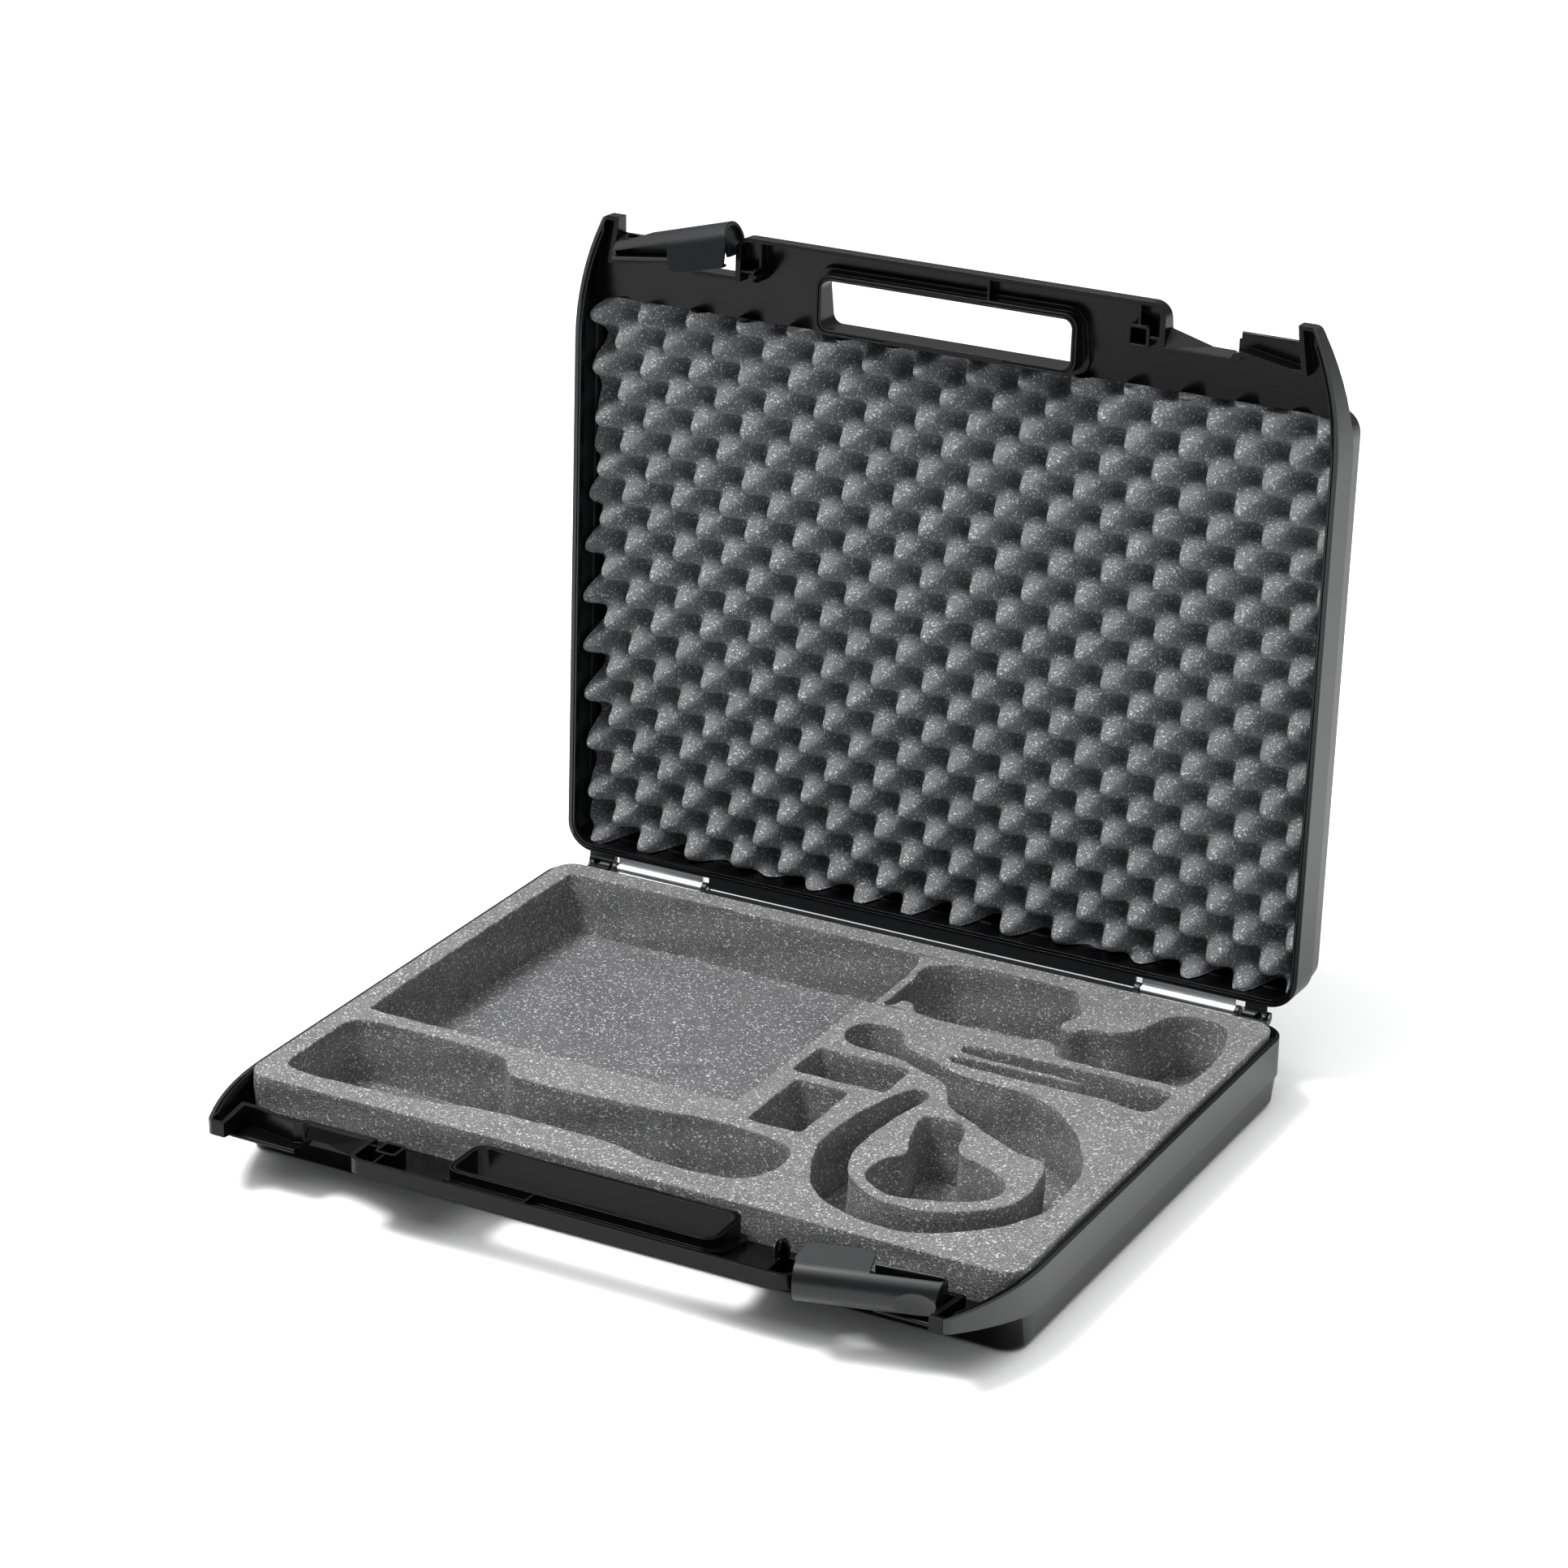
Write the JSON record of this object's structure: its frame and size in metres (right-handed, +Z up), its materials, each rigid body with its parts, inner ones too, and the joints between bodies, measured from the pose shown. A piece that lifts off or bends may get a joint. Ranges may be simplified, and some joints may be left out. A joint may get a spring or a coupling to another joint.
{
  "type": "foam-lined carrying case",
  "caption": "Moulded carrying case standing open, with die-cut device foam in the base, egg-crate foam in the lid, rotary snap latches and a through handle opening.",
  "frame": {"origin": "centre of the flat outer face of the base, where the case rests", "axes": "+Z up out of the base, +X along the hinge to the right seen from the handle side, -Y towards the handle"},
  "size_m": [0.44, 0.428, 0.4153],
  "materials": {
    "shell_plastic": "fine-textured moulded polypropylene",
    "latch_plastic": "smooth satin moulding",
    "foam": "open-cell polyurethane foam",
    "hinge_strip": "mill-finish extrusion",
    "hinge_pin": "plain drawn wire"
  },
  "bodies": {
    "base": {"base_shell": "shell_plastic", "base_foam": "foam", "base_foam_pad": "foam", "hinge_pin_left": "hinge_pin", "hinge_pin_right": "hinge_pin"},
    "lid": {"lid_shell": "shell_plastic", "lid_foam": "foam", "hinge_leaf_left": "hinge_strip", "hinge_leaf_right": "hinge_strip"},
    "base_latch": {"latch_base": "latch_plastic"},
    "lid_latch": {"latch_lid": "latch_plastic"}
  },
  "joints": [
    {"name": "lid_hinge", "type": "hinge", "parent": "base", "child": "lid", "pos_m": [0, 0.1655, 0.0395], "axis": [1, 0, 0], "range_deg": [0, 92.2]},
    {"name": "base_latch_pivot", "type": "hinge", "parent": "base", "child": "base_latch", "pos_m": [0.123, -0.196, 0.034], "axis": [0.998, 0.0633, 0], "range_deg": [0, 65]},
    {"name": "lid_latch_pivot", "type": "hinge", "parent": "lid", "child": "lid_latch", "pos_m": [-0.123, 0.18513, 0.40051], "axis": [-0.998, -0.0025, -0.0632], "range_deg": [0, 65]}
  ]
}
